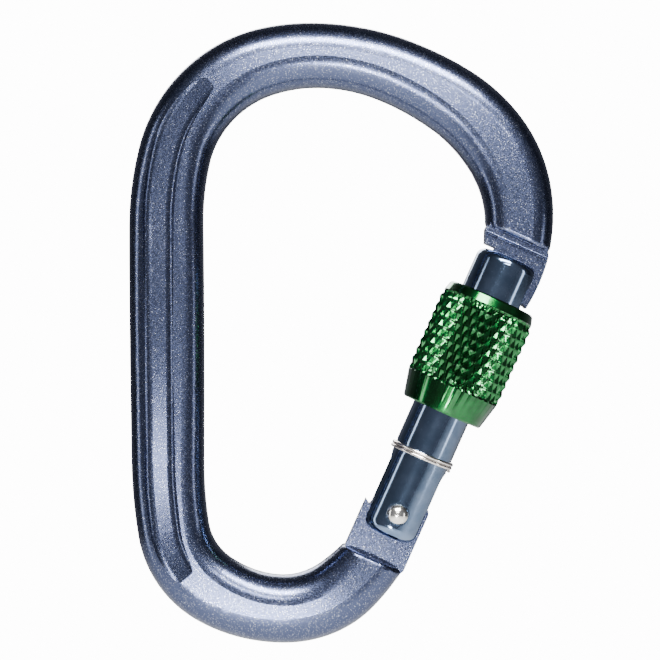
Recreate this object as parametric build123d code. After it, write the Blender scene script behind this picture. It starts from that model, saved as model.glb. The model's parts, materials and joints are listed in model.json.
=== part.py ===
from build123d import *
import math
import os

# A pear-shaped locking carabiner with a screw sleeve.
#
# Millimetres. +Z is up and +X is the gate side. Y runs through the thickness.
# The origin is the rope bearing point: the crown of the top bow's inner edge, at mid thickness.
#
# The frame is one forged bar. Its nose and its hinge tongue are machined from the bar's two ends.
# Everything on the gate is made in the gate's own frame and then placed: there the hinge pin's
# axis passes through the origin, z runs up the gate to the nose, x points out of the loop and
# y is the same Y as above.

# ---------------------------------------------------------------- frame bar: centreline
# Each bend is (radius of the centreline, angle turned in degrees).
CROWN_BEND = (30.0, 15.1)
UPPER_BEND = (20.9, 61.3)
SPINE_LEAD = (47.4, 14.0)
SPINE_LENGTH = 38.4
SPINE_TAIL = (72.0, 8.8)
HEEL_BEND = (13.9, 48.2)
BOTTOM_BEND = (22.0, 31.7)
TOE_BEND = (15.5, 42.4)
HINGE_BEND = (33.6, 10.7)
ROOF_BEND = (35.7, 20.8)
ROOF_RUN = (48.7, 13.0)
LATCH_BEND = (26.8, 21.7)
NOSE_BEND = (21.5, 45.2)
BAR_END_STUB = 3.0

# ---------------------------------------------------------------- frame bar: sections
# Each section is (width in the plane of the loop, thickness in Y, corner radius).
NOSE_SECTION = (10.8, 9.0, 3.5)
LATCH_SECTION = (11.7, 9.4, 4.0)
ROOF_RUN_SECTION = (11.4, 9.6, 4.4)
ROOF_SECTION = (10.8, 9.6, 4.6)
CROWN_SECTION = (10.55, 9.6, 4.6)
UPPER_SECTION = (10.95, 9.6, 4.5)
SHOULDER_SECTION = (11.75, 9.0, 3.9)
SPINE_TOP_SECTION = (12.0, 8.6, 3.5)
SPINE_END_SECTION = (11.75, 8.6, 3.5)
TAIL_SECTION = (11.6, 8.8, 3.7)
HEEL_SECTION = (11.5, 9.2, 4.1)
BOTTOM_SECTION = (11.0, 9.4, 4.4)
TOE_SECTION = (11.0, 9.4, 4.2)
HINGE_SECTION = (10.2, 9.0, 3.6)

# ---------------------------------------------------------------- spine channel, on both faces
CHANNEL_WIDTH = 5.4
CHANNEL_DEPTH = 0.9
CHANNEL_CORNER = 1.6
CHANNEL_OFFSET = 1.0
CHANNEL_TOP_RUN_OUT = 18.0
CHANNEL_FOOT_RUN_OUT = 11.0
CHANNEL_TOOL_HEIGHT = 6.4

# ---------------------------------------------------------------- hinge tongue and nose
BLADE_THICKNESS = 3.8
BLADE_ROOT = 4.0
HINGE_SHOULDER = 8.2
HINGE_BAR_OFFSET = 0.45
SHOULDER_ROUND = 0.7
SHOULDER_CUT_INNER = 9.94
SHOULDER_CUT_OUTER = 15.9
SQUARE_ENOUGH = 0.999
TONGUE_INNER = 5.5
TONGUE_OUTER = 4.85
TONGUE_TOP = 3.0
TONGUE_CORNER = 1.6
NOTCH_WIDTH = 0.9
NOTCH_DEPTH = 0.6
NOSE_STEP_HEIGHT = 1.1
NOSE_STEP_SPAN = 5.4
NOSE_STEP_THICKNESS = 6.2
NOSE_STEP_ROUND = 0.35
NOSE_DEPTH = 6.75
NOSE_TIP_OUTER = 5.6
NOSE_MIDDLE_OUTER = 5.9
NOSE_SHOULDER_OUTER = 5.5
NOSE_SHOULDER_INNER = 5.7
NOSE_LEDGE_INNER = 4.8
NOSE_INNER = 3.0
NOSE_RISE = 3.4
NOSE_BEAD_WIDTH = 5.2
NOSE_BEAD_HEIGHT = 2.8
NOSE_BEAD_INSET = 0.5
NOSE_GAP = 0.25

# ---------------------------------------------------------------- gate
GATE_RADIUS = 5.3
THREAD_DEPTH = 0.48
GATE_TOP_GAP = 2.4
GATE_DOME = 0.6
GATE_EDGE_RADIUS = 1.4
EAR_DROP = 4.1
EAR_CORNER = 1.9
SLOT_CLEARANCE = 0.15
HINGE_SLOT_LENGTH = 7.2
SLOT_FLOOR_DEPTH = 9.0
BORE_RADIUS = 2.4
BORE_START = 2.4
BORE_END = 17.0
NOSE_STOP_GAP = 0.05

# ---------------------------------------------------------------- hinge rivet
RIVET_RADIUS = 1.5
RIVET_HEAD_OVERHANG = 0.25
RIVET_HEAD_HEIGHT = 1.0
RIVET_SEAT_DEPTH = 0.35
RIVET_SEAT_CLEARANCE = 0.2
RIVET_RUNNING_CLEARANCE = 0.05

# ---------------------------------------------------------------- gate spring and its plunger
PLUNGER_CLEARANCE = 0.1
PLUNGER_LENGTH = 3.4
PLUNGER_STEM_RADIUS = 1.2
PLUNGER_STEM_LENGTH = 2.4
PLUNGER_FOOT_GAP = 0.02
CAM_LEVER = 1.6
CAM_ANGLE = 31.0
SPRING_WIRE = 0.55
SPRING_TURNS = 7
SPRING_SEAT_GAP = 0.05

# ---------------------------------------------------------------- screw sleeve and its thread
SLEEVE_LENGTH = 20.2
SLEEVE_WALL = 2.55
SLEEVE_TOP_WALL = 0.8
SLEEVE_TOP_TAPER = 2.6
SLEEVE_FOOT_WALL = 1.35
SLEEVE_FOOT_TAPER = 5.3
SLEEVE_EDGE = 0.25
SLEEVE_BELOW_NOSE = 0.7
SLEEVE_LOCK_GAP = 0.7
SLEEVE_UNDERCUT_END_GAP = 0.5
SLEEVE_UNDERCUT_CLEARANCE = 0.3
SLEEVE_THREAD_START = 4.2
SLEEVE_THREAD_LENGTH = 5.7
SLEEVE_BORE_CLEARANCE = 0.15
THREAD_PITCH = 3.0
THREAD_ROOT_WIDTH = 1.7
THREAD_CREST_WIDTH = 1.0
THREAD_RADIAL_GAP = 0.18
THREAD_SINK = 0.1
GATE_THREAD_ABOVE_FOOT = 0.65
THREAD_END_GAP = 0.1

# ---------------------------------------------------------------- stop ring
RING_HEIGHT = 10.1
RING_WIRE = 0.54
RING_PITCH = 0.57
RING_TURNS = 2.1
RING_CLEARANCE = 0.05
RING_GROOVE_DEPTH = 0.08
RING_GROOVE_MARGIN = 0.1


# ================================================================ frame layout
def walk(start, heading, runs):
    """Lay runs end to end, each tangent to the last. An angle of 0 makes a straight run."""
    edges = []
    point = Vector(*start)
    for size, angle in runs:
        direction = Vector(1, 0).rotate(Axis.Z, heading)
        if angle == 0:
            edge = Line(point, point + direction * size)
        else:
            edge = JernArc(point, direction, size, angle)
        edges.append(edge)
        point = edge @ 1
        heading += angle
    return edges, point, heading


CROWN_CENTRE = (0, CROWN_SECTION[0] / 2)
NOSE_SIDE = [ROOF_BEND, ROOF_RUN, LATCH_BEND, NOSE_BEND]
UPPER_SIDE = [CROWN_BEND, UPPER_BEND, SPINE_LEAD]
LOWER_SIDE = [SPINE_TAIL, HEEL_BEND, BOTTOM_BEND, TOE_BEND, HINGE_BEND]
SPINE_SIDE = UPPER_SIDE + [(SPINE_LENGTH, 0)] + LOWER_SIDE

# From the crown towards the nose every bend turns right, and towards the hinge every bend turns left.
_, NOSE_END, NOSE_HEADING = walk(CROWN_CENTRE, 0, [(size, -angle) for size, angle in NOSE_SIDE])
_, HINGE_END, _ = walk(CROWN_CENTRE, 180, SPINE_SIDE)

# The gate's axis meets the nose end of the bar, and passes outside its hinge end by an offset.
SPAN = NOSE_END - HINGE_END
GATE_TURN = math.degrees(math.asin(HINGE_BAR_OFFSET / SPAN.length))
AXIS_UP = SPAN.normalized().rotate(Axis.Z, GATE_TURN)
AXIS_OUT = AXIS_UP.rotate(Axis.Z, -90)
PIVOT = HINGE_END + AXIS_OUT * HINGE_BAR_OFFSET + AXIS_UP * HINGE_SHOULDER
GATE_PLANE = Plane(
    origin=(PIVOT.X, 0, PIVOT.Y),
    x_dir=(AXIS_OUT.X, 0, AXIS_OUT.Y),
    z_dir=(AXIS_UP.X, 0, AXIS_UP.Y),
)

# Heights along the gate's axis, above the hinge pin.
NOSE_SHOULDER = (NOSE_END - PIVOT).dot(AXIS_UP)
GATE_TOP = NOSE_SHOULDER - GATE_TOP_GAP
NOSE_TIP = GATE_TOP - NOSE_DEPTH
SLEEVE_TOP = NOSE_TIP - SLEEVE_BELOW_NOSE
SLEEVE_FOOT = SLEEVE_TOP - SLEEVE_LENGTH

# The sleeve screws up from its place here until it stands just under the nose's step.
LOCKED_TOP = NOSE_SHOULDER - NOSE_STEP_HEIGHT / 2 - SLEEVE_LOCK_GAP
LOCK_TRAVEL = LOCKED_TOP - SLEEVE_TOP
UNDERCUT_DEPTH = LOCK_TRAVEL - SLEEVE_BELOW_NOSE + SLEEVE_UNDERCUT_END_GAP
SLEEVE_THREAD_TOP = SLEEVE_FOOT + SLEEVE_THREAD_START + SLEEVE_THREAD_LENGTH
GATE_THREAD_START = SLEEVE_FOOT + GATE_THREAD_ABOVE_FOOT
GATE_THREAD_TOP = SLEEVE_THREAD_TOP + LOCK_TRAVEL + THREAD_END_GAP

# Sizes that fit to one another.
SLOT_HALF = BLADE_THICKNESS / 2 + SLOT_CLEARANCE
GATE_SHANK_RADIUS = GATE_RADIUS - THREAD_DEPTH
RIVET_HEAD_RADIUS = RIVET_RADIUS + RIVET_HEAD_OVERHANG
RIVET_SEAT_RADIUS = RIVET_HEAD_RADIUS + RIVET_SEAT_CLEARANCE
PLUNGER_FOOT = TONGUE_TOP + PLUNGER_FOOT_GAP
PLUNGER_RADIUS = BORE_RADIUS - PLUNGER_CLEARANCE
UNDERCUT_RADIUS = math.hypot(NOSE_MIDDLE_OUTER, BLADE_THICKNESS / 2) + SLEEVE_UNDERCUT_CLEARANCE
SLEEVE_BORE_RADIUS = GATE_RADIUS + SLEEVE_BORE_CLEARANCE
SLEEVE_RADIUS = SLEEVE_BORE_RADIUS + SLEEVE_WALL
SLEEVE_FOOT_RADIUS = SLEEVE_BORE_RADIUS + SLEEVE_FOOT_WALL
SLEEVE_TOP_RADIUS = UNDERCUT_RADIUS + SLEEVE_TOP_WALL


# ================================================================ helpers in the gate's frame
def rod(radius, bottom, top):
    """A cylinder on the gate's axis."""
    return Pos(0, 0, bottom) * Cylinder(radius, top - bottom, align=(Align.CENTER, Align.CENTER, Align.MIN))


def block(x_range, half_thickness, z_range):
    """A box across the gate, even about the middle plane."""
    size = (x_range[1] - x_range[0], 2 * half_thickness, z_range[1] - z_range[0])
    centre = ((x_range[0] + x_range[1]) / 2, 0, (z_range[0] + z_range[1]) / 2)
    return Pos(*centre) * Box(*size)


def blade(outline, thickness):
    """A flat plate in the middle plane, from edges drawn as (x, z)."""
    face = Plane.XZ * make_face(outline)
    return extrude(face, amount=thickness / 2, both=True)


def lathe(points):
    """A turned piece, from (radius, height) points."""
    outline = Polyline(*points, close=True)
    return revolve(Plane.XZ * make_face(outline), axis=Axis.Z)


def helical_ridge(radius_at_base, radius_at_crest, start, length):
    """A thread ridge of trapezoid section, winding up the gate's axis."""
    base = THREAD_ROOT_WIDTH / 2
    crest = THREAD_CREST_WIDTH / 2
    corners = [
        (radius_at_base, start - base),
        (radius_at_crest, start - crest),
        (radius_at_crest, start + crest),
        (radius_at_base, start + base),
    ]
    section = Plane.XZ * make_face(Polyline(*corners, close=True))
    path = Pos(0, 0, start) * Helix(THREAD_PITCH, length, radius_at_base)
    return sweep(section, path=path, is_frenet=True)


def coil(wire, radius, pitch, turns, start):
    """A round wire wound about the gate's axis."""
    path = Pos(0, 0, start) * Helix(pitch, pitch * turns, radius)
    section = Plane(origin=path @ 0, z_dir=path % 0) * Circle(wire / 2)
    return sweep(section, path=path, is_frenet=True)


# ================================================================ frame
def bar_section(point, tangent, section):
    width, thickness, corner = section
    plane = Plane(origin=point, x_dir=(0, 1, 0), z_dir=tangent)
    return plane * RectangleRounded(thickness, width, corner)


def upright(edges):
    """Stand a flat chain of edges up in the plane of the loop, as one wire."""
    return Plane.XZ.from_local_coords(Wire([edge.edge() for edge in edges]))


def bar():
    """The bent bar, with its section changing from station to station along the centreline."""
    nose_runs = [(BAR_END_STUB, 0)] + NOSE_SIDE[::-1]
    stub = Vector(1, 0).rotate(Axis.Z, NOSE_HEADING) * BAR_END_STUB
    start = NOSE_END + stub
    runs = nose_runs + SPINE_SIDE + [(BAR_END_STUB, 0)]
    edges, _, _ = walk((start.X, start.Y), NOSE_HEADING + 180, runs)
    sections = [
        NOSE_SECTION,
        NOSE_SECTION,
        LATCH_SECTION,
        ROOF_RUN_SECTION,
        ROOF_SECTION,
        CROWN_SECTION,
        UPPER_SECTION,
        SHOULDER_SECTION,
        SPINE_TOP_SECTION,
        SPINE_END_SECTION,
        TAIL_SECTION,
        HEEL_SECTION,
        BOTTOM_SECTION,
        TOE_SECTION,
        HINGE_SECTION,
        HINGE_SECTION,
    ]
    points = [edges[0] @ 0] + [edge @ 1 for edge in edges]
    tangents = [edges[0] % 0] + [edge % 1 for edge in edges]
    faces = []
    for point, tangent, section in zip(points, tangents, sections):
        faces.append(bar_section((point.X, 0, point.Y), (tangent.X, 0, tangent.Y), section))
    return sweep(sections=faces, path=upright(edges), multisection=True)


def spine_channel(side):
    """The tool that cuts the shallow channel in one face of the spine, running out at both ends."""
    edges, _, _ = walk(CROWN_CENTRE, 180, SPINE_SIDE)
    upper, lead, straight, tail, heel = [edge.edge() for edge in edges[1:6]]
    start = CHANNEL_TOP_RUN_OUT / upper.length
    end = CHANNEL_FOOT_RUN_OUT / heel.length
    chain = [upper.trim(1 - start, 1), lead, straight, tail, heel.trim(0, end)]
    sections = [
        (SHOULDER_SECTION, -CHANNEL_DEPTH),
        (SHOULDER_SECTION, CHANNEL_DEPTH),
        (SPINE_TOP_SECTION, CHANNEL_DEPTH),
        (SPINE_END_SECTION, CHANNEL_DEPTH),
        (TAIL_SECTION, CHANNEL_DEPTH),
        (HEEL_SECTION, -CHANNEL_DEPTH),
    ]
    points = [chain[0] @ 0] + [edge @ 1 for edge in chain]
    tangents = [chain[0] % 0] + [edge % 1 for edge in chain]
    height = CHANNEL_TOOL_HEIGHT
    faces = []
    for point, tangent, (section, depth) in zip(points, tangents, sections):
        plane = Plane(origin=(point.X, 0, point.Y), x_dir=(0, 1, 0), z_dir=(tangent.X, 0, tangent.Y))
        place = Pos(side * (section[1] / 2 - depth + height / 2), -CHANNEL_OFFSET)
        faces.append(plane * place * RectangleRounded(height, CHANNEL_WIDTH, CHANNEL_CORNER))
    return sweep(sections=faces, path=upright(chain), multisection=True)


def cam_point(angle):
    """A point of the tongue's cam: the plunger rises by CAM_LEVER for each radian that the gate opens."""
    rise = TONGUE_TOP + CAM_LEVER * angle
    x = -CAM_LEVER * math.cos(angle) - rise * math.sin(angle)
    z = -CAM_LEVER * math.sin(angle) + rise * math.cos(angle)
    return (x, z)


def tongue():
    """The hinge tongue, with the cam that the plunger rides on and a notch at its inner side."""
    steps = 5
    cam = [cam_point(math.radians(CAM_ANGLE) * step / steps) for step in range(steps, -1, -1)]
    root = -HINGE_SHOULDER - BLADE_ROOT
    shoulder = -HINGE_SHOULDER
    inner = -TONGUE_INNER
    outer = TONGUE_OUTER
    notch = inner + NOTCH_WIDTH
    outline = [
        Polyline(
            (outer, TONGUE_TOP - TONGUE_CORNER),
            (outer, shoulder),
            (outer - BLADE_ROOT / 2, root),
            (inner, root),
            (inner, 0),
            (notch, -NOTCH_DEPTH),
        ),
        Line((notch, -NOTCH_DEPTH), cam[0]),
        Spline(*cam),
        Line(cam[-1], (outer - TONGUE_CORNER, TONGUE_TOP)),
        JernArc((outer - TONGUE_CORNER, TONGUE_TOP), (1, 0), TONGUE_CORNER, -90),
    ]
    return blade(outline, BLADE_THICKNESS)


def nose():
    """The nose: a blade that drops into the gate's slot, with a wider bead at its tip."""
    top = NOSE_SHOULDER + BLADE_ROOT
    ledge = GATE_TOP + NOSE_GAP
    rise = NOSE_TIP + NOSE_RISE
    outer_tip = (NOSE_TIP_OUTER, NOSE_TIP)
    outer_middle = (NOSE_MIDDLE_OUTER, (NOSE_TIP + NOSE_SHOULDER) / 2)
    outer_shoulder = (NOSE_SHOULDER_OUTER, NOSE_SHOULDER)
    outline = [
        Polyline(
            outer_shoulder,
            (NOSE_STEP_SPAN - BLADE_ROOT / 2, top),
            (-NOSE_STEP_SPAN, top),
            (-NOSE_SHOULDER_INNER, NOSE_SHOULDER),
            (-NOSE_LEDGE_INNER, ledge),
            (-NOSE_INNER, ledge),
            (-NOSE_INNER, rise),
            outer_tip,
        ),
        ThreePointArc(outer_tip, outer_middle, outer_shoulder),
    ]
    bead_outer = NOSE_TIP_OUTER - NOSE_BEAD_INSET
    bead_outline = Polyline(
        (-NOSE_INNER, rise),
        (bead_outer, NOSE_TIP + NOSE_BEAD_INSET / 2),
        (bead_outer, NOSE_TIP + NOSE_BEAD_HEIGHT),
        (-NOSE_INNER, rise + NOSE_BEAD_HEIGHT),
        close=True,
    )
    return blade(outline, BLADE_THICKNESS) + blade(bead_outline, NOSE_BEAD_WIDTH) + nose_step()


def nose_step():
    """The half-thickness step between the bar's end and the nose blade."""
    low = NOSE_SHOULDER - NOSE_STEP_HEIGHT / 2
    high = NOSE_SHOULDER + BLADE_ROOT
    outline = Polyline(
        (-NOSE_STEP_SPAN, low),
        (NOSE_STEP_SPAN, low),
        (NOSE_STEP_SPAN - BLADE_ROOT / 2, high),
        (-NOSE_STEP_SPAN, high),
        close=True,
    )
    step = blade(outline, NOSE_STEP_THICKNESS)
    return fillet(step.edges().filter_by(Axis.X).group_by(Axis.Z)[0], NOSE_STEP_ROUND)


def trimmed_bar():
    """The bar cut off square to the gate's axis at both shoulders, with the cut edges rounded."""
    span = (-SHOULDER_CUT_INNER, SHOULDER_CUT_OUTER)
    heights = (-HINGE_SHOULDER, NOSE_SHOULDER + NOSE_STEP_HEIGHT / 2)
    body = bar() - GATE_PLANE * block(span, SHOULDER_CUT_OUTER, heights)
    flat_faces = [face for face in body.faces() if face.is_planar]
    ends = [face for face in flat_faces if abs(face.normal_at().dot(GATE_PLANE.z_dir)) > SQUARE_ENOUGH]
    edges = [edge for face in ends for edge in face.edges()]
    return fillet(edges, SHOULDER_ROUND)


def frame():
    body = trimmed_bar() + GATE_PLANE * tongue() + GATE_PLANE * nose()
    pin_hole = Rot(90, 0, 0) * Cylinder(RIVET_RADIUS + RIVET_RUNNING_CLEARANCE, 4 * GATE_RADIUS)
    body = body - GATE_PLANE * pin_hole
    for side in (1, -1):
        body = body - spine_channel(side)
    return body


# ================================================================ gate
def gate_blank():
    """The turned gate: a thin shank with a rounded foot, a full-size head and a domed top."""
    step = GATE_THREAD_TOP
    shank = rod(GATE_SHANK_RADIUS, -EAR_DROP, step)
    shank = fillet(shank.edges().group_by(Axis.Z)[0], EAR_CORNER)
    dome_radius = (GATE_RADIUS ** 2 + GATE_DOME ** 2) / (2 * GATE_DOME)
    dome = Pos(0, 0, GATE_TOP - dome_radius) * Sphere(dome_radius)
    head = rod(GATE_RADIUS, step, GATE_TOP) & dome
    rim = [edge for edge in head.edges() if edge.is_closed and edge.center().Z > step + GATE_EDGE_RADIUS]
    return shank + fillet(rim, GATE_EDGE_RADIUS)


def nose_slot():
    """The keyhole that takes the nose: a narrow slot above, and wider below for the bead."""
    reach = 2 * GATE_RADIUS
    floor = GATE_TOP - SLOT_FLOOR_DEPTH
    inner = -NOSE_INNER - NOSE_STOP_GAP
    bead_top = NOSE_TIP + NOSE_RISE + NOSE_BEAD_HEIGHT + NOSE_GAP
    narrow = block((inner, reach), SLOT_HALF, (floor, GATE_TOP + reach))
    wide = block((inner, reach), NOSE_BEAD_WIDTH / 2 + SLOT_CLEARANCE, (floor, bead_top))
    return narrow + wide


def hinge_slot():
    """The slot for the tongue, open at both sides and round at its closed end."""
    reach = 2 * GATE_RADIUS
    opening = block((-reach, reach), SLOT_HALF, (-reach, HINGE_SLOT_LENGTH))
    end = Pos(0, 0, HINGE_SLOT_LENGTH) * Rot(0, 90, 0) * Cylinder(SLOT_HALF, 2 * reach)
    return opening + end


def rivet_seats():
    """A flat seat in each ear for the rivet's heads."""
    seat = GATE_SHANK_RADIUS - RIVET_SEAT_DEPTH
    reach = GATE_RADIUS
    cutter = Rot(90, 0, 0) * Cylinder(RIVET_SEAT_RADIUS, reach)
    return Pos(0, seat + reach / 2, 0) * cutter + Pos(0, -seat - reach / 2, 0) * cutter


def ring_groove():
    half = RING_PITCH * RING_TURNS / 2 + RING_WIRE / 2 + RING_GROOVE_MARGIN
    outer = rod(2 * GATE_RADIUS, RING_HEIGHT - half, RING_HEIGHT + half)
    return outer - rod(GATE_SHANK_RADIUS - RING_GROOVE_DEPTH, RING_HEIGHT - half, RING_HEIGHT + half)


def gate():
    start = GATE_THREAD_START + THREAD_ROOT_WIDTH / 2
    length = GATE_THREAD_TOP - GATE_THREAD_START - THREAD_ROOT_WIDTH
    ridge = helical_ridge(GATE_SHANK_RADIUS - THREAD_SINK, GATE_RADIUS, start, length)
    body = gate_blank() + ridge
    body = body - hinge_slot() - nose_slot()
    body = body - rod(BORE_RADIUS, BORE_START, BORE_END)
    body = body - Rot(90, 0, 0) * Cylinder(RIVET_RADIUS, 4 * GATE_RADIUS)
    return body - rivet_seats() - ring_groove()


# ================================================================ small pieces on the gate
def hinge_rivet():
    """A pin with a domed head formed at each end."""
    seat = GATE_SHANK_RADIUS - RIVET_SEAT_DEPTH
    pin = Cylinder(RIVET_RADIUS, 2 * seat)
    dome_radius = (RIVET_HEAD_RADIUS ** 2 + RIVET_HEAD_HEIGHT ** 2) / (2 * RIVET_HEAD_HEIGHT)
    ball = Pos(0, 0, seat + RIVET_HEAD_HEIGHT - dome_radius) * Sphere(dome_radius)
    head = ball & rod(2 * RIVET_HEAD_RADIUS, seat, seat + 2 * RIVET_HEAD_HEIGHT)
    return Rot(90, 0, 0) * (pin + head + Rot(180, 0, 0) * head)


def spring_plunger():
    """A flat-ended plunger with a stem that centres the spring."""
    top = PLUNGER_FOOT + PLUNGER_LENGTH
    foot = rod(PLUNGER_RADIUS, PLUNGER_FOOT, top)
    return foot + rod(PLUNGER_STEM_RADIUS, top, top + PLUNGER_STEM_LENGTH)


def gate_spring():
    """The compression spring between the plunger's shoulder and the end of the bore."""
    bottom = PLUNGER_FOOT + PLUNGER_LENGTH + SPRING_WIRE / 2 + SPRING_SEAT_GAP
    top = BORE_END - SPRING_WIRE / 2 - SPRING_SEAT_GAP
    radius = PLUNGER_RADIUS - SPRING_WIRE / 2
    return coil(SPRING_WIRE, radius, (top - bottom) / SPRING_TURNS, SPRING_TURNS, bottom)


def stop_ring():
    """The two-turn wire ring that stops the sleeve on its way down."""
    radius = GATE_SHANK_RADIUS - RING_GROOVE_DEPTH + RING_CLEARANCE + RING_WIRE / 2
    start = RING_HEIGHT - RING_PITCH * RING_TURNS / 2
    return coil(RING_WIRE, radius, RING_PITCH, RING_TURNS, start)


# ================================================================ screw sleeve
def sleeve_blank():
    top = SLEEVE_LENGTH
    return lathe([
        (0, 0),
        (SLEEVE_FOOT_RADIUS - SLEEVE_EDGE, 0),
        (SLEEVE_FOOT_RADIUS, SLEEVE_EDGE),
        (SLEEVE_RADIUS, SLEEVE_FOOT_TAPER),
        (SLEEVE_RADIUS, top - SLEEVE_TOP_TAPER),
        (SLEEVE_TOP_RADIUS, top - SLEEVE_EDGE),
        (SLEEVE_TOP_RADIUS - SLEEVE_EDGE, top),
        (0, top),
    ])


def screw_sleeve():
    """The sleeve: its thread runs on the gate, and its undercut top closes over the nose."""
    over = SLEEVE_LENGTH + SLEEVE_EDGE
    body = sleeve_blank() - rod(SLEEVE_BORE_RADIUS, -SLEEVE_EDGE, over)
    body = body - rod(UNDERCUT_RADIUS, SLEEVE_LENGTH - UNDERCUT_DEPTH, over)
    body = Pos(0, 0, SLEEVE_FOOT) * body
    first = SLEEVE_FOOT + SLEEVE_THREAD_START + THREAD_ROOT_WIDTH / 2
    length = SLEEVE_THREAD_LENGTH - THREAD_ROOT_WIDTH
    crest = GATE_SHANK_RADIUS + THREAD_RADIAL_GAP
    ridge = helical_ridge(SLEEVE_BORE_RADIUS + THREAD_SINK, crest, first, length)
    # Both ridges start in the same half plane, so the sleeve's is turned to lie between the gate's.
    gate_first = GATE_THREAD_START + THREAD_ROOT_WIDTH / 2
    turn = 360 * ((first - gate_first) / THREAD_PITCH - 0.5)
    return body + Rot(0, 0, turn) * ridge


# ================================================================ files
def main():
    os.makedirs("parts", exist_ok=True)
    export_step(frame(), "parts/frame.step")
    in_gate_frame = {
        "gate": gate,
        "hinge_rivet": hinge_rivet,
        "gate_spring": gate_spring,
        "spring_plunger": spring_plunger,
        "screw_sleeve": screw_sleeve,
        "stop_ring": stop_ring,
    }
    for name, make in in_gate_frame.items():
        export_step(GATE_PLANE * make(), f"parts/{name}.step")


main()
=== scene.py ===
import json
import math
import bpy
from mathutils import Matrix, Vector


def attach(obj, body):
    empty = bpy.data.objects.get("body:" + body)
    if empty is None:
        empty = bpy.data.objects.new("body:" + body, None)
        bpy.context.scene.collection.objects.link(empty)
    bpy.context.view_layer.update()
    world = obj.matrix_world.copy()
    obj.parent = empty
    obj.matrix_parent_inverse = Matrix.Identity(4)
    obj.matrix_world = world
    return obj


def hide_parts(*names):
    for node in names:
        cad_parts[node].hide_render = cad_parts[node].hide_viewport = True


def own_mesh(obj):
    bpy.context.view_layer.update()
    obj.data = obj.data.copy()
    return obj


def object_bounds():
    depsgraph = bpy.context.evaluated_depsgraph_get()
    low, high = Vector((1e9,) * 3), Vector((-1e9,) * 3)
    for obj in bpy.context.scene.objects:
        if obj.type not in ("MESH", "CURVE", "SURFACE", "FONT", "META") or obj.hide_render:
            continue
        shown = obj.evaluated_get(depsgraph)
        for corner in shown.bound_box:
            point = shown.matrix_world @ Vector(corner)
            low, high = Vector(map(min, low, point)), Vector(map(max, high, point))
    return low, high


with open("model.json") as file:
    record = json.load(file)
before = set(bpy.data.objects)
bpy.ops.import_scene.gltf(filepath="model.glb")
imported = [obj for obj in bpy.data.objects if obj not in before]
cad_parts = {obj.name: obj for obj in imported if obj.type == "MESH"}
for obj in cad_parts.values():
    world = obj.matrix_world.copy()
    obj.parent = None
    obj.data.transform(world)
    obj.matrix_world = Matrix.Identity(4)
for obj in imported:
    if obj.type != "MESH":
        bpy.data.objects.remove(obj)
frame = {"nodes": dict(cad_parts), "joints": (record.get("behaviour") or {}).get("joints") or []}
cad_low, cad_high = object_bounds()

# Metres, in the CAD frame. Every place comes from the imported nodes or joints. The gate frame has its
# origin on the hinge pin, z up the gate's axis, x out of the loop and y through the thickness.
MM = 0.001
NODES = frame["nodes"]
JOINTS = {joint["name"]: joint for joint in frame["joints"]}
PIVOT = Vector(JOINTS["gate_hinge"]["pos_m"])
AXIS_UP = Vector(JOINTS["sleeve_turn"]["axis"]).normalized()
ACROSS = Vector((0, 1, 0))
AXIS_OUT = ACROSS.cross(AXIS_UP)
GATE_FRAME = Matrix.Translation(PIVOT) @ Matrix((AXIS_OUT, ACROSS, AXIS_UP)).transposed().to_4x4()

# How far inside its CAD node's radius a Blender piece stays, in millimetres.
INSIDE_CAD = 0.005

# ---------------------------------------------------------------- knurled sleeve, in millimetres
# The knurl has plain bands above and below it, and fades in over a short height at each end.
KNURL_COUNT = 36
KNURL_ANGLE = 24.0
KNURL_DEPTH = 0.55
KNURL_TOP = 1.5
KNURL_FOOT = 4.4
KNURL_FADE = 0.35
STEPS_PER_KNURL = 8
COLLAR_BEVEL = 0.25
FOOT_WALL = 1.35
FOOT_TAPER = 5.3
TOP_TAPER = 2.6
LIP_WALL = 0.8
UNDERCUT_RADIUS = 6.5
UNDERCUT_DEPTH = 8.4
BORE_WALL = 2.55
BORE_ROWS = 60
# The thread's start and end are heights above the sleeve's foot. Its share of the full height would be
# THREAD_CREST at its middle, falls by THREAD_FLANK over one width, and is held between 0 and 1. The
# helix is counted from THREAD_ABOVE_FOOT.
THREAD_START = 4.2
THREAD_END = 9.9
THREAD_HEIGHT = 0.45
THREAD_WIDTH = 1.7
THREAD_CREST = 1.6
THREAD_FLANK = 2.4
THREAD_ABOVE_FOOT = 1.5
SLEEVE_CREASE = 25

# ---------------------------------------------------------------- spring, in millimetres
SPRING_WIRE = 0.55
SPRING_TURNS = 7
SPRING_STEPS_PER_TURN = 40
SPRING_SIDES = 12
SPRING_CREASE = 60

# ---------------------------------------------------------------- colours, linear RGB
FRAME_DARK = (0.050, 0.062, 0.116)
FRAME_LIGHT = (0.076, 0.090, 0.152)
# The near white third frame colour is painted glint: spots that stand in for blasted grains catching the
# light.
FRAME_PAINTED_GLINT = (0.80, 0.84, 0.98)
GATE_DARK = (0.105, 0.155, 0.240)
GATE_LIGHT = (0.160, 0.215, 0.315)
SLEEVE_DARK = (0.003, 0.066, 0.012)
SLEEVE_LIGHT = (0.007, 0.120, 0.026)
RIVET_DARK = (0.62, 0.60, 0.55)
RIVET_LIGHT = (0.82, 0.80, 0.74)
RING_DARK = (0.60, 0.56, 0.52)
RING_LIGHT = (0.84, 0.79, 0.74)
PLUNGER_DARK = (0.50, 0.50, 0.50)
PLUNGER_LIGHT = (0.70, 0.70, 0.70)
SPRING_DARK = (0.42, 0.42, 0.43)
SPRING_LIGHT = (0.62, 0.62, 0.63)
FLOOR_DARK = (0.86, 0.86, 0.86)
FLOOR_LIGHT = (0.90, 0.90, 0.90)
ROOM_COLOUR = (0.88, 0.90, 1.0, 1)
WHITE = (1, 1, 1, 1)

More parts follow.
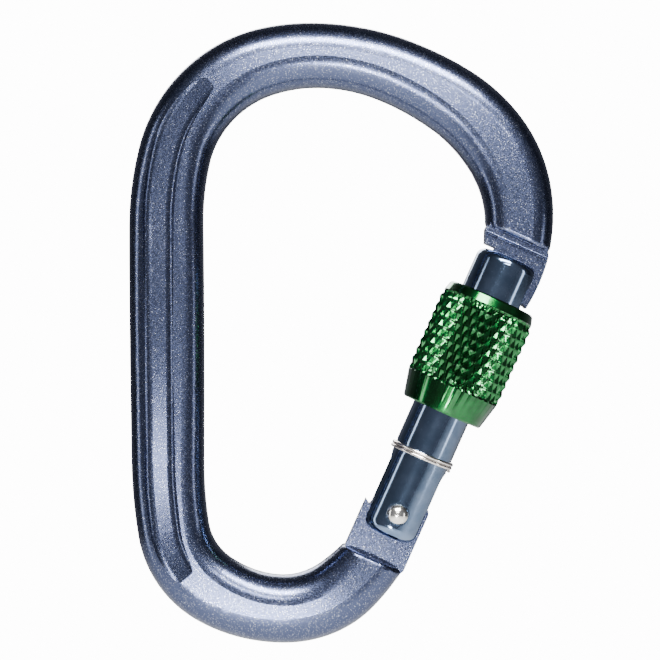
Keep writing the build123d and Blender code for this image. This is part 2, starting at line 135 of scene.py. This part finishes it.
# ---------------------------------------------------------------- surface texture
# Scales are in features for each millimetre. Noise is stretched from NOISE_LOW..NOISE_HIGH to 0..1.
NOISE_LOW = 0.3
NOISE_HIGH = 0.7
MOTTLE_SCALE = 0.12
GRAIN_SCALE = 4.5
CLOUD_SCALE = 0.5
TURNED_STRETCH = (0.6, 0.6, 9.0)
TURNED_SCALE = 1.2
SCRATCH_STRETCH = (14.0, 3.0, 0.5)
SCRATCH_SCALE = 0.8
TONE_SCALE = 1.8
FLOOR_SCALE = 0.02
FINE_DETAIL = 4.0
SCRATCH_DETAIL = 2.0
# The ground's colours mix between these shares, and grain darkens them by up to GRAIN_DARKENING.
MOTTLE_LOW = 0.35
MOTTLE_HIGH = 0.65
GRAIN_DARKENING = 0.35
# A painted glint is full inside the core share of its cell and gone outside the edge share.
PAINTED_GLINT_CORE = 0.15
PAINTED_GLINT_EDGE = 0.5
FLECK_ROUGHNESS_SPREAD = 0.06
# Scratches start where their noise passes SCRATCH_FROM and are full at SCRATCH_FULL.
SCRATCH_FROM = 0.62
SCRATCH_FULL = 0.75
SCRATCH_ROUGHNESS = 0.05
COAT_ROUGHNESS = 0.05
STEEL_SMOOTHER = 0.05
STEEL_ROUGHER = 0.08
# Relief distances are in millimetres.
FLECK_RELIEF = 0.03
LINE_RELIEF = 0.02
TURNED_STRENGTH = 0.05
STEEL_STRENGTH = 0.12
FLOOR_ROUGHNESS = 0.8

# ---------------------------------------------------------------- camera, light and floor, in metres
PICTURE_WIDTH = 0.1076
PICTURE_CENTRE = (0.00264, -0.03947)
LENS = 100.0
SENSOR = 36.0
FLOOR_SIZE = 1.2
FLOOR_DROP = 0.16
# Name, place from the middle of the object, width and height, watts. The flat front faces mirror the bow
# panels mainly at the two bows, and heel_side mainly along the lower spine.
SOFTBOXES = (
    ("key_above", (0.04, -0.31, 0.30), (0.30, 0.12), 9.0),
    ("bow_upper", (0.04, -0.42, 0.135), (0.16, 0.05), 0.95),
    ("heel_side", (-0.080, -0.42, -0.105), (0.04, 0.08), 0.32),
    ("bow_lower", (-0.045, -0.42, -0.140), (0.06, 0.05), 1.15),
    ("side_right", (0.42, -0.20, -0.14), (0.06, 0.34), 0.45),
    ("side_left", (-0.42, -0.12, 0.02), (0.05, 0.44), 0.5),
    ("back_high", (-0.06, 0.40, 0.20), (0.30, 0.16), 1.6),
    ("fill_below", (-0.06, -0.24, -0.38), (0.16, 0.10), 0.35),
)
# World strengths: what the camera sees, and what the metal mirrors ahead, beside and behind the object.
BACKDROP = 14.0
ROOM_AHEAD = 0.34
ROOM_BESIDE = 0.05
ROOM_BEHIND = 0.22


# ================================================================ node helpers
def new_material(name):
    material = bpy.data.materials.new(name)
    material.use_nodes = True
    tree = material.node_tree
    tree.nodes.clear()
    output = tree.nodes.new("ShaderNodeOutputMaterial")
    shader = tree.nodes.new("ShaderNodeBsdfPrincipled")
    tree.links.new(shader.outputs["BSDF"], output.inputs["Surface"])
    return material, tree, shader


def add(tree, kind, inputs=None, **settings):
    """A node with its settings made and its inputs set or linked."""
    node = tree.nodes.new(kind)
    for key, value in settings.items():
        setattr(node, key, value)
    for key, value in (inputs or {}).items():
        if isinstance(value, bpy.types.NodeSocket):
            tree.links.new(value, node.inputs[key])
        else:
            node.inputs[key].default_value = value
    return node


def millimetres(tree, stretch=(1, 1, 1)):
    """Object coordinates in millimetres."""
    where = tree.nodes.new("ShaderNodeTexCoord")
    scale = tuple(s / MM for s in stretch)
    return add(tree, "ShaderNodeMapping", {"Vector": where.outputs["Object"], "Scale": scale}).outputs[0]


def ramp(tree, value, low, high, bottom=0.0, top=1.0):
    """value from low to high becomes bottom to top, and is held outside that."""
    inputs = {0: value, 1: low, 2: high, 3: bottom, 4: top}
    return add(tree, "ShaderNodeMapRange", inputs, clamp=True).outputs[0]


def spread(tree, value, bottom=0.0, top=1.0):
    """Noise stretched over its useful range, from bottom to top."""
    return ramp(tree, value, NOISE_LOW, NOISE_HIGH, bottom, top)


def maths(tree, operation, *values):
    inputs = dict(enumerate(values))
    return add(tree, "ShaderNodeMath", inputs, operation=operation).outputs[0]


def bumps(tree, shader, height, strength, distance):
    """Relief of a height, with its distance in millimetres."""
    inputs = {"Height": height, "Strength": strength, "Distance": distance * MM}
    tree.links.new(add(tree, "ShaderNodeBump", inputs).outputs[0], shader.inputs["Normal"])


def noise(tree, where, scale, detail=3.0):
    inputs = {"Vector": where, "Scale": scale, "Detail": detail}
    return add(tree, "ShaderNodeTexNoise", inputs).outputs["Fac"]


def blend_colours(tree, factor, first, second):
    node = add(tree, "ShaderNodeMix", data_type="RGBA")
    tree.links.new(factor, node.inputs["Factor"])
    for socket, colour in ((node.inputs[6], first), (node.inputs[7], second)):
        if isinstance(colour, bpy.types.NodeSocket):
            tree.links.new(colour, socket)
        else:
            socket.default_value = (*colour, 1)
    return node.outputs[2]


# ================================================================ materials
def sparkle_anodise(name, dark, light, painted_glint, grain_and_glint_cells_per_mm, painted_glint_share, roughness, grain):
    """Anodised aluminium over a fine blasted surface: a mottled ground, with bright painted glints on a share
    of its grains.
    """
    material, tree, shader = new_material(name)
    where = millimetres(tree)
    mottle = spread(tree, noise(tree, where, MOTTLE_SCALE), MOTTLE_LOW, MOTTLE_HIGH)
    fine = spread(tree, noise(tree, where, GRAIN_SCALE))
    ground = blend_colours(tree, mottle, dark, light)
    ground = blend_colours(tree, ramp(tree, fine, 0, 1, 0, GRAIN_DARKENING), ground, dark)
    # Painted glints: a share of the grain cells get a near white base colour that stands in for grains
    # catching the light.
    cells = add(tree, "ShaderNodeTexVoronoi", {"Vector": where, "Scale": grain_and_glint_cells_per_mm})
    pick = add(tree, "ShaderNodeSeparateColor", {0: cells.outputs["Color"]})
    chosen = ramp(tree, pick.outputs[0], 1 - painted_glint_share, 1)
    middle = ramp(tree, cells.outputs["Distance"], PAINTED_GLINT_CORE, PAINTED_GLINT_EDGE, 1, 0)
    glint = maths(tree, "MULTIPLY", chosen, middle)
    tree.links.new(blend_colours(tree, glint, ground, painted_glint), shader.inputs["Base Color"])
    smoothest = roughness - FLECK_ROUGHNESS_SPREAD
    roughest = roughness + FLECK_ROUGHNESS_SPREAD
    uneven = ramp(tree, pick.outputs[1], 0, 1, smoothest, roughest)
    tree.links.new(uneven, shader.inputs["Roughness"])
    bumps(tree, shader, maths(tree, "ADD", pick.outputs[2], fine), grain, FLECK_RELIEF)
    shader.inputs["Metallic"].default_value = 1.0
    return material


def polished_anodise(name, dark, light, roughness, coat):
    """Polished dyed aluminium: faint turning lines, soft clouds in the dye and a few light scratches."""
    material, tree, shader = new_material(name)
    where = millimetres(tree)
    clouds = spread(tree, noise(tree, where, CLOUD_SCALE))
    tree.links.new(blend_colours(tree, clouds, dark, light), shader.inputs["Base Color"])
    lines = noise(tree, millimetres(tree, TURNED_STRETCH), TURNED_SCALE, FINE_DETAIL)
    scratches = noise(tree, millimetres(tree, SCRATCH_STRETCH), SCRATCH_SCALE, SCRATCH_DETAIL)
    wear = ramp(tree, scratches, SCRATCH_FROM, SCRATCH_FULL)
    worn = maths(tree, "MULTIPLY_ADD", spread(tree, lines, 0, SCRATCH_ROUGHNESS), wear, roughness)
    tree.links.new(worn, shader.inputs["Roughness"])
    bumps(tree, shader, lines, TURNED_STRENGTH, LINE_RELIEF)
    shader.inputs["Metallic"].default_value = 1.0
    shader.inputs["Coat Weight"].default_value = coat
    shader.inputs["Coat Roughness"].default_value = COAT_ROUGHNESS
    return material


def steel(name, dark, light, roughness, line_scale):
    """Drawn or turned stainless steel, with fine lines and a slightly uneven polish."""
    material, tree, shader = new_material(name)
    where = millimetres(tree)
    tone = spread(tree, noise(tree, where, TONE_SCALE))
    tree.links.new(blend_colours(tree, tone, dark, light), shader.inputs["Base Color"])
    lines = noise(tree, where, line_scale, FINE_DETAIL)
    polish = spread(tree, lines, roughness - STEEL_SMOOTHER, roughness + STEEL_ROUGHER)
    tree.links.new(polish, shader.inputs["Roughness"])
    bumps(tree, shader, lines, STEEL_STRENGTH, LINE_RELIEF)
    shader.inputs["Metallic"].default_value = 1.0
    return material


def paint(piece, material):
    piece.data.materials.clear()
    piece.data.materials.append(material)


# ================================================================ mesh helpers
def in_gate_frame(node):
    """(lowest height, highest height, largest radius) of a CAD node about the gate's axis, in millimetres."""
    inverse = GATE_FRAME.inverted()
    points = [inverse @ vertex.co for vertex in NODES[node].data.vertices]
    heights = [p.z for p in points]
    radius = max(math.hypot(p.x, p.y) for p in points)
    return min(heights) / MM, max(heights) / MM, radius / MM - INSIDE_CAD


def make_piece(name, points, faces, crease):
    """A mesh piece from points in the gate frame, in millimetres. Edges over crease degrees are sharp."""
    mesh = bpy.data.meshes.new(name)
    mesh.from_pydata([GATE_FRAME @ (Vector(p) * MM) for p in points], [], faces)
    mesh.validate()
    piece = bpy.data.objects.new(name, mesh)
    bpy.context.scene.collection.objects.link(piece)
    mesh.shade_smooth()
    mesh.set_sharp_from_angle(angle=math.radians(crease))
    return piece


def ring_faces(rings, around):
    """Quads between neighbouring rings. The last ring joins the first, so the piece is closed."""
    faces = []
    for ring in range(rings):
        upper = (ring + 1) % rings
        for step in range(around):
            after = (step + 1) % around
            low_edge = (ring * around + step, ring * around + after)
            high_edge = (upper * around + after, upper * around + step)
            faces.append(low_edge + high_edge)
    return faces


# ================================================================ screw sleeve
SLEEVE_LOW, SLEEVE_HIGH, SLEEVE_RADIUS = in_gate_frame("screw_sleeve")
SLEEVE_LENGTH = SLEEVE_HIGH - SLEEVE_LOW
SLEEVE_BORE = SLEEVE_RADIUS - BORE_WALL
TOP_RADIUS = UNDERCUT_RADIUS + LIP_WALL
FOOT_RADIUS = SLEEVE_BORE + FOOT_WALL
FULL_TRAVEL = JOINTS["sleeve_travel"]["range_m"][1]
FULL_TURN = math.radians(JOINTS["sleeve_turn"]["range_deg"][1])
THREAD_PITCH = FULL_TRAVEL / FULL_TURN * 2 * math.pi / MM


def zigzag(value):
    """0 at each whole number and 1 half way between."""
    return 1 - abs(2 * (value % 1) - 1)


def knurl_cut(turn, height, low, high):
    """How deep the knurl's grooves are at a place, with both families of grooves fading out at the ends."""
    lean = math.tan(math.radians(KNURL_ANGLE)) * KNURL_COUNT / (2 * math.pi * SLEEVE_RADIUS)
    first = zigzag(turn * KNURL_COUNT + height * lean)
    second = zigzag(turn * KNURL_COUNT - height * lean)
    edge = min(height - low, high - height) / KNURL_FADE
    return KNURL_DEPTH * (1 - min(first, second)) * min(max(edge, 0), 1)


def thread_rise(turn, height):
    """How far the sleeve's thread stands in from its bore at a place."""
    phase = (height - THREAD_ABOVE_FOOT) / THREAD_PITCH - turn - 0.5
    away = abs((phase + 0.5) % 1 - 0.5) * THREAD_PITCH
    inside = THREAD_START <= height <= THREAD_END
    share = min(max(THREAD_CREST - THREAD_FLANK * away / THREAD_WIDTH, 0), 1)
    return THREAD_HEIGHT * share if inside else 0


def outer_radius(height):
    """The turned outside of the sleeve before knurling: a foot taper, a straight middle and a top taper."""
    foot = FOOT_RADIUS + (SLEEVE_RADIUS - FOOT_RADIUS) * (height - COLLAR_BEVEL) / (FOOT_TAPER - COLLAR_BEVEL)
    into_top = (height - SLEEVE_LENGTH + TOP_TAPER) / (TOP_TAPER - COLLAR_BEVEL)
    return min(foot, SLEEVE_RADIUS, SLEEVE_RADIUS - (SLEEVE_RADIUS - TOP_RADIUS) * into_top)


def sleeve_profile():
    """(radius, height, kind) up the outside of the sleeve, over its lip and down its bore."""
    top = SLEEVE_LENGTH
    knurl_high = top - KNURL_TOP
    outside = [(FOOT_RADIUS - COLLAR_BEVEL, 0, ""), (FOOT_RADIUS, COLLAR_BEVEL, "")]
    rows_per_mm = KNURL_COUNT * STEPS_PER_KNURL / (math.pi * SLEEVE_RADIUS)
    rows = int((knurl_high - KNURL_FOOT) * rows_per_mm * math.tan(math.radians(KNURL_ANGLE)))
    for row in range(rows + 1):
        height = KNURL_FOOT + (knurl_high - KNURL_FOOT) * row / rows
        outside.append((outer_radius(height), height, "knurl"))
    lip = [
        (TOP_RADIUS, top - COLLAR_BEVEL, ""),
        (TOP_RADIUS - COLLAR_BEVEL, top, ""),
        (UNDERCUT_RADIUS, top, ""),
    ]
    step = top - UNDERCUT_DEPTH
    inside = [(UNDERCUT_RADIUS, step, "")]
    for row in range(BORE_ROWS + 1):
        inside.append((SLEEVE_BORE, step * (1 - row / BORE_ROWS), "bore"))
    return outside + lip + inside


def make_sleeve():
    around = KNURL_COUNT * STEPS_PER_KNURL
    profile = sleeve_profile()
    points = []
    for radius, height, kind in profile:
        for step in range(around):
            turn = step / around
            cut = 0
            if kind == "knurl":
                cut = knurl_cut(turn, height, KNURL_FOOT, SLEEVE_LENGTH - KNURL_TOP)
            if kind == "bore":
                cut = thread_rise(turn, height)
            r = radius - cut
            angle = 2 * math.pi * turn
            points.append((r * math.cos(angle), r * math.sin(angle), SLEEVE_LOW + height))
    return make_piece("knurled_sleeve", points, ring_faces(len(profile), around), SLEEVE_CREASE)


# ================================================================ gate spring
def make_spring():
    """The round wire coil in the gate's bore, and the height of its top."""
    low, high, outer = in_gate_frame("gate_spring")
    wire = SPRING_WIRE / 2
    radius = outer - wire
    rings = SPRING_TURNS * SPRING_STEPS_PER_TURN + 1
    points = []
    for ring in range(rings):
        angle = 2 * math.pi * ring / SPRING_STEPS_PER_TURN
        height = low + wire + (high - low - SPRING_WIRE) * ring / (rings - 1)
        for side in range(SPRING_SIDES):
            lean = 2 * math.pi * side / SPRING_SIDES
            r = radius + wire * math.cos(lean)
            points.append((r * math.cos(angle), r * math.sin(angle), height + wire * math.sin(lean)))
    faces = ring_faces(rings, SPRING_SIDES)[:-SPRING_SIDES]
    faces.append(tuple(range(SPRING_SIDES))[::-1])
    faces.append(tuple(range((rings - 1) * SPRING_SIDES, rings * SPRING_SIDES)))
    return make_piece("coil_spring", points, faces, SPRING_CREASE), high


# ================================================================ the object
def dress_frame():
    material = sparkle_anodise(
        "frame_sparkle",
        FRAME_DARK,
        FRAME_LIGHT,
        # The third colour is painted glint, near white spots on a share of the grains.
        FRAME_PAINTED_GLINT,
        grain_and_glint_cells_per_mm=8.0,
        painted_glint_share=0.22,
        roughness=0.23,
        grain=0.05,
    )
    paint(NODES["frame"], material)


def dress_gate():
    paint(NODES["gate"], polished_anodise("gate_polish", GATE_DARK, GATE_LIGHT, roughness=0.12, coat=0.2))


def dress_small_parts():
    rivet = steel("rivet_steel", RIVET_DARK, RIVET_LIGHT, roughness=0.16, line_scale=6.0)
    ring = steel("ring_wire", RING_DARK, RING_LIGHT, roughness=0.15, line_scale=9.0)
    plunger = steel("plunger_steel", PLUNGER_DARK, PLUNGER_LIGHT, roughness=0.25, line_scale=8.0)
    paint(NODES["hinge_rivet"], rivet)
    paint(NODES["stop_ring"], ring)
    paint(NODES["spring_plunger"], plunger)


def dress_sleeve():
    sleeve = make_sleeve()
    paint(sleeve, polished_anodise("sleeve_green", SLEEVE_DARK, SLEEVE_LIGHT, roughness=0.17, coat=0.5))
    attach(sleeve, "sleeve")
    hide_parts("screw_sleeve")


def dress_spring():
    spring, top = make_spring()
    paint(spring, steel("spring_wire", SPRING_DARK, SPRING_LIGHT, roughness=0.22, line_scale=10.0))
    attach(spring, "gate")
    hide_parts("gate_spring")
    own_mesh(spring)


# ================================================================ stage
def make_floor():
    """A wide pale floor below the hanging carabiner."""
    bpy.ops.mesh.primitive_plane_add(size=FLOOR_SIZE, location=(0, 0, cad_low.z - FLOOR_DROP))
    floor = bpy.context.object
    floor.name = "floor"
    material, tree, shader = new_material("pale_floor")
    tone = spread(tree, noise(tree, millimetres(tree), FLOOR_SCALE))
    tree.links.new(blend_colours(tree, tone, FLOOR_DARK, FLOOR_LIGHT), shader.inputs["Base Color"])
    shader.inputs["Roughness"].default_value = FLOOR_ROUGHNESS
    paint(floor, material)


def softbox(name, place, size, watts):
    """An area light aimed at the middle of the object."""
    target = (cad_low + cad_high) / 2
    data = bpy.data.lights.new(name, "AREA")
    data.shape = "RECTANGLE"
    data.size, data.size_y = size
    data.energy = watts
    light = bpy.data.objects.new(name, data)
    light.location = target + Vector(place)
    light.rotation_euler = (-Vector(place)).to_track_quat("-Z", "Y").to_euler()
    bpy.context.scene.collection.objects.link(light)


def make_world():
    """White to the camera. To the metal, a room that is grey ahead and behind, and dark to the sides."""
    world = bpy.data.worlds.new("studio")
    bpy.context.scene.world = world
    world.use_nodes = True
    tree = world.node_tree
    tree.nodes.clear()
    direction = tree.nodes.new("ShaderNodeTexCoord").outputs["Generated"]
    depth = add(tree, "ShaderNodeSeparateXYZ", {0: direction}).outputs["Y"]
    ahead = ramp(tree, depth, -1.0, 0.0, ROOM_AHEAD, ROOM_BESIDE)
    behind = ramp(tree, depth, 0.0, 1.0, 0.0, ROOM_BEHIND)
    strength = maths(tree, "ADD", ahead, behind)
    white = add(tree, "ShaderNodeBackground", {"Color": WHITE, "Strength": BACKDROP}).outputs[0]
    room = add(tree, "ShaderNodeBackground", {"Color": ROOM_COLOUR, "Strength": strength}).outputs[0]
    seen = tree.nodes.new("ShaderNodeLightPath").outputs["Is Camera Ray"]
    mix = add(tree, "ShaderNodeMixShader", {0: seen, 1: room, 2: white})
    output = tree.nodes.new("ShaderNodeOutputWorld")
    tree.links.new(mix.outputs[0], output.inputs["Surface"])


def make_camera():
    data = bpy.data.cameras.new("camera")
    data.lens = LENS
    data.sensor_width = SENSOR
    camera = bpy.data.objects.new("camera", data)
    distance = PICTURE_WIDTH * LENS / SENSOR
    camera.location = (PICTURE_CENTRE[0], -distance, PICTURE_CENTRE[1])
    camera.rotation_euler = (math.radians(90), 0, 0)
    data.clip_start = distance / 100
    data.clip_end = distance * 100
    bpy.context.scene.collection.objects.link(camera)
    bpy.context.scene.camera = camera


dress_frame()
dress_gate()
dress_small_parts()
dress_sleeve()
dress_spring()
make_floor()
make_world()
for name, place, size, watts in SOFTBOXES:
    softbox(name, place, size, watts)
make_camera()
